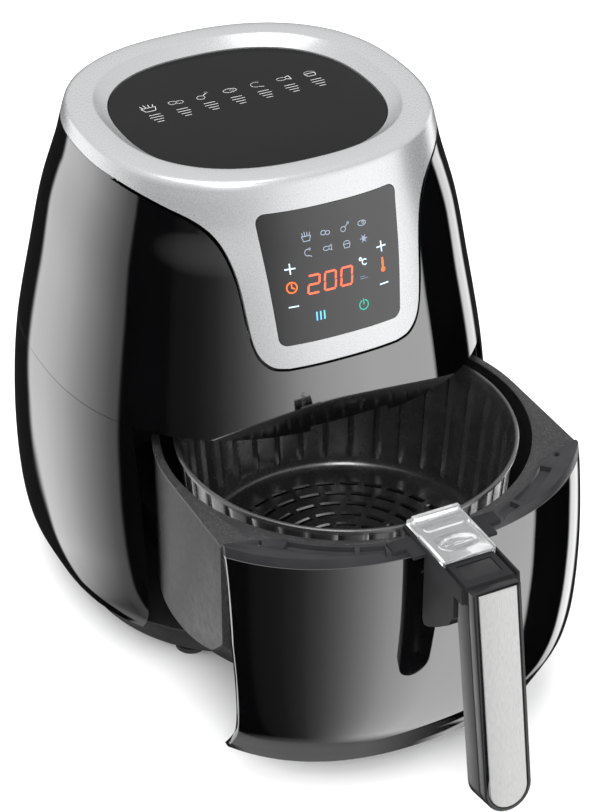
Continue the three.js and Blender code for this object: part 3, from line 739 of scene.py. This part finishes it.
def on_lens(name, strokes, thickness, material):
    finish(raised(drawn(strokes, thickness, lens_point), (0, -1, 0.2)), name, "housing", material,
           [])


def placed(strokes, x, z, size):
    return [[(x + size * u, z + size * v) for u, v in stroke] for stroke in strokes]


def figure(digit, x, z, width=7.0, tall=10.4, gap=0.55):
    """A seven-segment figure, slanted a little to the right."""
    half = tall / 2
    runs = {
        "a": ((0, tall), (width, tall)), "b": ((width, tall), (width, half)),
        "c": ((width, half), (width, 0)), "d": ((width, 0), (0, 0)), "e": ((0, 0), (0, half)),
        "f": ((0, half), (0, tall)), "g": ((0, half), (width, half)),
    }
    strokes = []
    for key in {"2": "abged", "0": "abcdef"}[digit]:
        (u0, v0), (u1, v1) = runs[key]
        length = math.hypot(u1 - u0, v1 - v0)
        a, b = gap * (u1 - u0) / length * 1.6, gap * (v1 - v0) / length * 1.6
        strokes.append([(x + u0 + a + 0.1 * v0, z + v0 + b), (x + u1 - a + 0.1 * v1, z + v1 - b)])
    return strokes


red_glow = ink("red_glow", (0.93, 0.10, 0.045), 1.0)
orange_glow = ink("orange_glow", (0.88, 0.11, 0.012), 0.9)
white_glow = ink("white_glow", (0.50, 0.66, 0.78), 0.75)
dim_glow = ink("dim_glow", (0.10, 0.13, 0.17), 0.5)
faint_glow = ink("faint_glow", (0.22, 0.26, 0.33), 0.5)
green_glow = ink("green_glow", (0.01, 0.32, 0.22), 0.8)
blue_glow = ink("blue_glow", (0.10, 0.42, 0.70), 0.8)

on_lens("display_figures", [
    *figure("2", -19.6, 265.8), *figure("0", -9.2, 265.8), *figure("0", 1.4, 265.8),
], 1.15, red_glow)
on_lens("clock_symbol", [
    arc(-29.2, 271.3, 3.1), [(-29.2, 273.2), (-29.2, 271.2), (-27.8, 270.6)],
], 0.75, orange_glow)
on_lens("thermometer_symbol", [
    [(30.0, 268.6), (30.0, 275.0)], arc(30.0, 268.6, 0.7),
], 1.3, orange_glow)
on_lens("plus_minus_symbols", [
    [(-31.9, 282.1), (-26.1, 282.1)], [(-29.0, 279.4), (-29.0, 284.8)],
    [(27.4, 282.1), (33.0, 282.1)], [(30.2, 279.4), (30.2, 284.8)],
    [(-31.8, 259.9), (-26.4, 259.9)], [(27.2, 260.1), (32.4, 260.1)],
], 0.75, white_glow)
on_lens("degree_symbol", [
    arc(15.4, 278.4, 0.75, steps=8), arc(18.0, 276.3, 1.6, 50, 310),
], 0.6, white_glow)
on_lens("minute_mark", [[(14.2, 266.9), (19.0, 266.9)], [(14.2, 268.1), (17.0, 268.1)]], 0.5,
        dim_glow)
on_lens("mode_symbol", [
    [(-15.6, 249.4), (-15.6, 253.8)], [(-13.2, 249.4), (-13.2, 253.8)],
    [(-10.8, 249.4), (-10.8, 253.8)],
], 0.9, blue_glow)
on_lens("power_symbol", [arc(15.0, 251.2, 2.9, 115, 425), [(15.0, 251.6), (15.0, 254.6)]], 0.65,
        green_glow)
ROWS = [(["fries", "nuggets", "drumstick", "steak"], 298.4),
        (["prawn", "fish", "cake", "frost"], 289.5)]
on_lens("programme_symbols", [
    stroke for pictures, z in ROWS for picture, x in zip(pictures, (-16.8, -4.8, 7.8, 19.2))
    for stroke in placed(PICTURES[picture], x, z, 3.1)
], 0.42, faint_glow)

# ---- Pan ------------------------------------------------------------------------------------
# The drawer's tub, deep drawn in sheet steel and given a speckled non-stick coat: straight
# sides, a bowed front, a round back, and a flat flange round the hole the basket stands in.

PAN_BOTTOM_Z, FLANGE_TOP_Z, HOLE_R, FLANGE_HALF = 63, 172.5, 110.8, 115.7


def pan_outline(inset):
    half = FLANGE_HALF - 1.2 - inset
    rise = 48
    r = (half**2 + rise**2) / (2 * rise)
    swing = math.degrees(math.asin(half / r))
    return [
        *arc(0, -134 + inset + r, r, -90 - swing, -90 + swing, 48),
        *arc(0, BASKET_Y, half, 0, 180, 64),
    ]


def pan_blank(inset, floor, top):
    bowl = spun([
        (0, floor), (104 - inset, floor), (108 - inset, floor + 0.9), (112 - inset, floor + 4),
        (126 - inset, 84), (142 - inset, 118), (142 - inset, top), (0, top),
    ], 120, BASKET_Y)
    return worked(prism(pan_outline(inset), floor, top, "Z"), bowl, operation="INTERSECT")


def bracket_outline(back):
    """Outline of the band between flange and fascia; back is its inner radius."""
    return [
        (-160, -91), (-114, -91), (-99.2, -94.6), (-82.4, -101.5),
        *arc(0, BASKET_Y, back, 225.3, 314.7, 48),
        (82.4, -101.5), (99.2, -94.6), (114, -91), (160, -91), (160, -170), (-160, -170),
    ]


coat = Finish("non_stick", (0.02, 0.02, 0.021), 0.36, IOR=1.5)
fleck = coat.cells(1700, "Color")
fleck_mask = coat.between(coat.add("ShaderNodeSeparateColor", {}, {"Color": fleck}),
                          0.0, 1.0, 0.70, 0.98)
coat.colour(coat.tint(fleck_mask, (0.012, 0.012, 0.013), (0.045, 0.045, 0.047), 0.0, 1.0))
coat.roughness(coat.between(coat.noise(240, 3), 0.33, 0.46))
coat.relief(coat.noise(1500, 3), 0.12)

tub = worked(
    pan_blank(0, PAN_BOTTOM_Z, FLANGE_TOP_Z - 1.5),
    pan_blank(1.8, PAN_BOTTOM_Z + 1.8, FLANGE_TOP_Z),
    prism(bracket_outline(117.6), 168, 190, "Z"),
)
flange = worked(
    prism([
        (FLANGE_HALF, -90), *arc(0, BASKET_Y, FLANGE_HALF, 0, 180, 72), (-FLANGE_HALF, -90),
        (-99, -94.2), (-82, -101), *arc(0, BASKET_Y, 117.2, 225.3, 314.7, 48), (82, -101),
        (99, -94.2),
    ], FLANGE_TOP_Z - 1.5, FLANGE_TOP_Z, "Z"),
    rod(HOLE_R, 150, 190, y=BASKET_Y, steps=128),
)
catch = prism(rounded(-6, 6, 155, 167, 1), 90, 98.6)
pan = worked(tub, flange, catch, operation="UNION")
finish(soften(pan, 0.4), "pan_tub", "drawer", coat.material, ["pan"], slid=True)

# ---- Drawer fascia --------------------------------------------------------------------------
# The gloss front of the drawer, on the same form as the housing, so that the two run through
# when it is shut. Its lower edge turns under.

fascia = worked(
    housing_wall(17, 168, 2.2),
    prism([(115.3, 168), (-115.3, 168), (-115.1, 110), (-110.5, 17), (110.5, 17), (115.1, 110)],
          *DRAWER_FRONT),
    operation="INTERSECT",
)
finish(soften(fascia, 0.55), "drawer_fascia_moulding", "drawer", gloss.material,
       ["drawer_fascia"], slid=True, on_form=True)

# ---- Fascia bracket -------------------------------------------------------------------------
# A dark satin moulding between pan and fascia, curved round the basket, with long sunk pockets
# that keep it stiff, a socket for the handle and a screw in each corner.

dark = Finish("dark_grey_satin", (0.02, 0.02, 0.022), 0.36, IOR=1.34)
dark.relief(dark.noise(1700, 2), 0.22)
dark.roughness(dark.between(dark.noise(90, 3), 0.34, 0.44))
dark.colour(dark.tint(dark.noise(40, 3), (0.015, 0.015, 0.0165), (0.024, 0.024, 0.026)))


SCREW_X, SCREW_Y = 96.5, -98.8


def pocket(start, stop, side):
    a, b = -90 + side * start, -90 + side * stop
    return prism([*arc(0, BASKET_Y, 126.5, a, b, 14), *arc(0, BASKET_Y, 119.5, b, a, 14)],
                 171, 180, "Z")


bracket = worked(
    worked(
        prism(bracket_outline(117.6), 168.3, 174.5, "Z"),
        spun([(0, 160)] + [(half_width(z) - 0.1, z) for z in heights(160, 180)] + [(0, 180)],
             square=True),
        prism([(-115.3, -200), (115.3, -200), (115.3, 0), (-115.3, 0)], 100, 200, "Z"),
        operation="INTERSECT",
    ),
    prism([(34.6, -120), (34.6, -141.4), (27, -141.4), (27, -160), (-27, -160), (-27, -141.4),
           (-34.6, -141.4), (-34.6, -120)], 171, 190, "Z"),
    *[pocket(*span, side) for side in (-1, 1) for span in ((25.3, 43.5), (17.2, 24))],
    *[rod(2.3, 150, 190, x=side * SCREW_X, y=SCREW_Y) for side in (-1, 1)],
)
finish(soften(bracket, 0.45), "fascia_bracket_moulding", "drawer", dark.material,
       ["fascia_bracket"], slid=True)

steel = Finish("brushed_steel", (0.60, 0.60, 0.60), 0.3, 1.0)
steel_grain = steel.noise(60, 4, 0.6, (40, 40, 1))
steel.colour(steel.tint(steel_grain, (0.53, 0.53, 0.535), (0.68, 0.68, 0.68)))
steel.roughness(steel.between(steel_grain, 0.24, 0.36))
steel.relief(steel_grain, 0.04)


def screw(name, body, x, y, low, high, radius, turn=None):
    """A pan-head screw with a crossed recess."""
    head = worked(
        spun([(0, low), (radius, low), (radius, high - 0.5), (radius * 0.7, high - 0.05),
              (0, high)], 24),
        prism(rounded(-radius * 0.6, radius * 0.6, -0.3, 0.3, 0.1, 2), high - 0.7, high + 1, "Z"),
        prism(rounded(-0.3, 0.3, -radius * 0.6, radius * 0.6, 0.1, 2), high - 0.7, high + 1, "Z"),
    )
    bmesh.ops.translate(head, verts=head.verts, vec=(x, y, 0))
    if turn:
        bmesh.ops.transform(head, verts=head.verts, matrix=turn)
    finish(head, name + "_head", body, steel.material, [name], slid=True)


for side, word in ((-1, "left"), (1, "right")):
    screw(f"bracket_screw_{word}", "drawer", side * SCREW_X, SCREW_Y, 168.6, 172, 2.0)

# ---- Basket ---------------------------------------------------------------------------------
# Spun in sheet metal with a rolled rim and pressed upright ribs, coated like the pan, with five
# rings of slots in its floor that let the hot air through and the fat out.

RIBS, RIB_STEPS = 36, 8
basket = spun([
    (0, 79), (84, 79), (88.5, 80), (91, 82), (92.6, 85), (93.5, 88), (94.6, 100), (97.3, 134),
    (100, 168), (101.6, 170.2), (103, 171.5), (103, 172.9), (102.4, 173.5), (101.4, 173.5),
    (100.6, 173.1), (100.0, 172.2), (98.4, 168), (97.9, 160), (95.9, 134), (93.4, 104),
    (92.4, 94), (92, 89), (91.2, 85.6), (89.5, 83.4), (87.0, 81.7), (84, 80.8), (0, 80.8),
], RIBS * RIB_STEPS, BASKET_Y)
RIB_DEPTH, RIB_LOW_Z, RIB_HIGH_Z, WALL_R = 2.2, 92, 162, 91.9
for vert in basket.verts:
    out = Vector((vert.co.x, vert.co.y - BASKET_Y, 0))
    turned = math.atan2(out.y, out.x) / (2 * math.pi) * RIBS
    crest = max(0.0, math.cos(2 * math.pi * turned)) ** 7
    if out.length > WALL_R and RIB_LOW_Z < vert.co.z < RIB_HIGH_Z:
        vert.co -= out.normalized() * RIB_DEPTH * crest
slots = bmesh.new()
slot_blanks = []
# Rings of slots: [radius, how many]
SLOT_RINGS = [(30, 12), (41, 16), (52, 20), (63, 24), (74, 30)]
BETWEEN_SLOTS = 3.4
for ring_number, (r, count) in enumerate(SLOT_RINGS):
    half = math.degrees((math.pi * r / count - BETWEEN_SLOTS / 2) / r)
    for i in range(count):
        middle = (i + (ring_number % 2) / 2) * 360 / count
        slot_blanks.append(prism([
            *arc(0, 0, r + 2, middle - half, middle + half, 4),
            *arc(0, 0, r - 2, middle + half, middle - half, 4),
        ], 70, 90, "Z"))
for blank in slot_blanks:
    kept = bpy.data.meshes.new("slots")
    blank.to_mesh(kept)
    blank.free()
    slots.from_mesh(kept)
    bpy.data.meshes.remove(kept)
bmesh.ops.translate(slots, verts=slots.verts, vec=(0, BASKET_Y, 0))
pan_coat = Finish("basket_coat", (0.016, 0.016, 0.017), 0.3, IOR=2.1)
pan_coat.roughness(pan_coat.between(pan_coat.noise(160, 3), 0.2, 0.3))
pan_coat.relief(pan_coat.noise(1300, 2), 0.1)
pan_coat.colour(pan_coat.tint(pan_coat.noise(60, 3), (0.018, 0.018, 0.019),
                              (0.03, 0.03, 0.031)))
finish(worked(basket, slots), "basket_shell", "basket", pan_coat.material,
       ["basket"], slid=True, smooth=28)

# ---- Handle bridge --------------------------------------------------------------------------
# The dark moulding that carries the grip: a flat beam over the bracket, stepped wings that key
# into the bracket's socket, a hollowed gusset below, and a pocket for the release button.

BUTTON_Y = -175.5
grip_top = Vector((0, -197, 166.2))
GRIP_LEAN = Matrix.Translation(grip_top) @ Matrix.Rotation(math.radians(-10.5), 4, "X")
GRIP_HALF, GRIP_LENGTH, GRIP_DEPTH = 15, 133, 20
FRONT_TOP = 9.6
GRIP_SCREWS = {"upper": -28, "lower": -104}


def grip_outline(inset, top=0.0):
    w = GRIP_HALF - inset
    end = GRIP_HALF - GRIP_LENGTH
    return [(w, top), (-w, top), *arc(0, end, w, 180, 360, 24)]


def leaned(bm):
    bmesh.ops.transform(bm, verts=bm.verts, matrix=GRIP_LEAN)
    return bm


beam = prism([
    (-122.5, 172.9), (-122.5, 176), (-195, 176), (-197.6, 174.5), (-198.4, 166.6),
    (-180.5, 166.6), (-181, 152), (-176, 143), (-165, 134), (-154, 126.5), (-149.5, 125),
    (-147.6, 128), (-147.6, 171.3), (-136.4, 171.3), (-136.4, 172.9),
], -18.5, 18.5, "X")
wings = prism([
    (34.2, -131.5), (34.2, -141), (26.6, -141), (26.6, -150), (-26.6, -150), (-26.6, -141),
    (-34.2, -141), (-34.2, -131.5),
], 172.9, 175, "Z")
bridge = worked(
    worked(beam, wings, operation="UNION"),
    leaned(prism(grip_outline(-0.3, 0.3), -0.3, GRIP_DEPTH + 0.3)),
    leaned(prism(rounded(-25, 25, -0.3, 20, 0.1, 1), -12, 7.3)),
    prism(rounded(-11.1, 11.1, -182.3, -168.7, 0.8), 168.6, 180, "Z"),
    rod(3.4, 161, 180, y=BUTTON_Y),
    prism(rounded(14.6, 17.2, -189, -135, 0.4, 2), 172.8, 180, "Z"),
    prism(rounded(-17.2, -14.6, -189, -135, 0.4, 2), 172.8, 180, "Z"),
)
bridge_finish = Finish("bridge_satin", (0.02, 0.02, 0.021), 0.22, IOR=1.06)
bridge_finish.roughness(bridge_finish.between(bridge_finish.noise(110, 3), 0.18, 0.26))
bridge_finish.relief(bridge_finish.noise(1700, 2), 0.05)
bridge_finish.colour(bridge_finish.tint(bridge_finish.noise(50), (0.016, 0.016, 0.017),
                                        (0.021, 0.021, 0.022)))
finish(soften(bridge, 0.6, 30, 3), "handle_bridge_beam", "basket", bridge_finish.material,
       ["handle_bridge"], slid=True, smooth=40)

# ---- Grip -----------------------------------------------------------------------------------
# Two black half shells, screwed together from behind, round-ended below, with a plate of
# brushed steel let into the front.

grip_black = Finish("grip_black", (0.012, 0.012, 0.013), 0.17, IOR=1.36)
grip_black.roughness(grip_black.between(grip_black.noise(90, 3), 0.12, 0.22))
grip_black.relief(grip_black.noise(1500), 0.03)
grip_black.colour(grip_black.tint(grip_black.noise(40), (0.010, 0.010, 0.011),
                                  (0.015, 0.015, 0.016)))
back = worked(
    prism(grip_outline(0), 7.3, GRIP_DEPTH),
    *[rod(2.8, 16, 24, z=z, along="Y") for z in GRIP_SCREWS.values()],
)
back = soften(back, 2.4, 50, 5, lambda edge: min(v.co.y for v in edge.verts) > 19.5
              and max(abs(v.co.x) for v in edge.verts) > 6)
finish(leaned(soften(back, 0.4, 50)), "grip_rear_shell", "basket", grip_black.material,
       ["handle_grip"], slid=True, smooth=40)
front = worked(
    prism(grip_outline(0, FRONT_TOP), 0, 7),
    prism(grip_outline(2.7, FRONT_TOP - 1.2), -1, 2),
)
finish(leaned(soften(front, 0.9, 50, 3)), "grip_front_shell", "basket", grip_black.material,
       ["grip_frame"], slid=True, smooth=40)

brushed = Finish("brushed_insert", (0.62, 0.62, 0.615), 0.36, 0.55)
brush = brushed.noise(260, 5, 0.6, (9, 1, 1))
brushed.colour(brushed.tint(brush, (0.29, 0.29, 0.29), (0.38, 0.38, 0.375)))
brushed.roughness(brushed.between(brush, 0.28, 0.42))
brushed.relief(brush, 0.08)
insert = prism(grip_outline(3, FRONT_TOP - 1.5), -0.4, 1.7)
finish(leaned(soften(insert, 0.5, 50, 3)), "grip_insert_plate", "basket", brushed.material,
       ["grip_insert"], slid=True, smooth=40)

for word, z in GRIP_SCREWS.items():
    face_back = GRIP_LEAN @ Matrix.Translation((0, 0, z)) @ Matrix.Rotation(
        -math.pi / 2, 4, "X")
    screw(f"grip_screw_{word}", "basket", 0, 0, 16.4, 19, 2.5, turn=face_back)

# ---- Release button and its guard -----------------------------------------------------------
# A small dark push button, and over the pan end of it a clear cover that slides forward. The
# cover has a dished oval for the thumb, a raised bar, and skirts that run in the side grooves.

button = worked(
    prism(rounded(-10.8, 10.8, -182, -169, 1.0), 172.4, 175.3, "Z"),
    rod(1.6, 165, 173, y=BUTTON_Y), operation="UNION",
)
finish(soften(button, 0.5, 50, 3), "release_button_cap", "button", grip_black.material,
       ["release_button"], slid=True, smooth=40)

clear = Finish("clear_cover", (0.96, 0.97, 0.98), 0.03, IOR=1.58)
clear.shader.inputs["Transmission Weight"].default_value = 0.85
clear.roughness(clear.between(clear.noise(50), 0.02, 0.05))
DISH_Y, DISH_SHAPE = -153, (1.35, 0.8, 1)
top = prism(rounded(-17, 17, -166, -122, 2.2), 177, 179, "Z")
dish = spun([(0, 178.0), (4.5, 178.1), (7.0, 178.5), (8.6, 179.4), (0, 179.4)], 40)
hoop = spun([(7.6, 178.6), (9.4, 178.6), (9.1, 179.7), (8.0, 179.7)], 40)
for oval in (dish, hoop):
    bmesh.ops.scale(oval, verts=oval.verts, vec=DISH_SHAPE)
    bmesh.ops.translate(oval, verts=oval.verts, vec=(0, DISH_Y, 0))
ridge = prism(rounded(-8.5, 8.5, DISH_Y - 1, DISH_Y + 1, 0.8, 3), 178.05, 179.5, "Z")
bar = prism(rounded(-12.5, 12.5, -138.5, -132.5, 2.8), 178.6, 180.4, "Z")
guard = worked(
    worked(top, dish),
    hoop, ridge, bar,
    prism(rounded(-16.8, -15, -165, -136, 0.5, 2), 173.2, 178, "Z"),
    prism(rounded(15, 16.8, -165, -136, 0.5, 2), 173.2, 178, "Z"),
    prism(rounded(-15, 15, -128.5, -125, 0.8, 3), 178, 183, "Z"),
    operation="UNION",
)
finish(soften(guard, 0.35, 40, 2), "button_guard_cover", "guard", clear.material,
       ["button_guard"], slid=True, smooth=40)

# ---- Button spring --------------------------------------------------------------------------
# A coil of bare steel wire under the release button. In the appliance its foot stays on the
# bridge and its top goes down with the button; here it is one fixed coil that rides on no body.

COIL_R, WIRE_R, COIL_LOW_Z, COIL_RISE, TURNS, COIL_STEPS = 2.6, 0.35, 161.8, 9.8, 4, 96
wire = bmesh.new()
bmesh.ops.create_circle(
    wire, cap_ends=True, segments=8, radius=WIRE_R,
    matrix=Matrix.Translation((COIL_R, BUTTON_Y, COIL_LOW_Z))
    @ Matrix.Rotation(math.pi / 2, 4, "X"),
)
bmesh.ops.spin(
    wire, geom=wire.verts[:] + wire.edges[:] + wire.faces[:], cent=(0, BUTTON_Y, 0),
    axis=(0, 0, 1), dvec=(0, 0, COIL_RISE / COIL_STEPS), angle=2 * math.pi * TURNS,
    steps=COIL_STEPS,
)
bmesh.ops.recalc_face_normals(wire, faces=wire.faces)
coil = finish(wire, "button_spring_coil", None, steel.material, ["button_spring"],
              slid=True, smooth=60)
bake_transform(coil)

# ---- What the gloss mirrors -----------------------------------------------------------------
# The bright gloss above the drawer mirrors the studio cleanly, so the parts of the drawer that
# stand before it are left out of its reflection.

for unmirrored in (
    "pan_tub", "drawer_fascia_moulding", "fascia_bracket_moulding", "bracket_screw_left_head",
    "bracket_screw_right_head", "handle_bridge_beam", "grip_front_shell", "grip_insert_plate",
    "release_button_cap", "button_guard_cover",
):
    bpy.data.objects[unmirrored].visible_glossy = False

# ---- Pieces kept as they are ----------------------------------------------------------------
# The plain inner parts are seen only through the slots or with the drawer open. Their shapes
# are right, so each keeps its own mesh and gets the finish of its metal, board or moulding.

board = Finish("circuit_board", (0.03, 0.16, 0.07), 0.4)
tracks = board.add("ShaderNodeTexVoronoi", {"distance": "MANHATTAN"}, {
    "Vector": board.place, "Scale": 220.0,
})
board.colour(board.tint(tracks, (0.05, 0.22, 0.10), (0.02, 0.11, 0.05), 0.25, 0.45))
board.roughness(board.between(tracks, 0.3, 0.5))

copper = Finish("copper", (0.65, 0.38, 0.2), 0.35, 1.0)
copper.colour(copper.tint(copper.noise(80, 3), (0.50, 0.28, 0.14), (0.72, 0.43, 0.24)))
copper.roughness(copper.between(copper.noise(200, 3), 0.28, 0.45))

bare = Finish("bare_steel", (0.6, 0.6, 0.6), 0.35, 1.0)
bare.colour(bare.tint(bare.noise(25, 4), (0.48, 0.48, 0.485), (0.63, 0.63, 0.63)))
bare.roughness(bare.between(bare.noise(300, 3), 0.3, 0.45))

KEPT = {
    matt: ["drawer_bay", "guide_rail_left", "guide_rail_right", "heating_element", "cooling_fan",
           "display_module", "switch_case"],
    bare: ["chamber_liner", "heater_guard", "heater_reflector", "motor_shaft", "convection_fan",
           "fan_motor", "motor_bracket", "basket_hook"],
    silver: ["switch_plunger"],
    board: ["control_board", "power_board"],
    copper: ["temperature_sensor", "thermal_fuse"],
}
for material, nodes in KEPT.items():
    for name in nodes:
        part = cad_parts[name]
        part.data.materials.clear()
        part.data.materials.append(material.material)
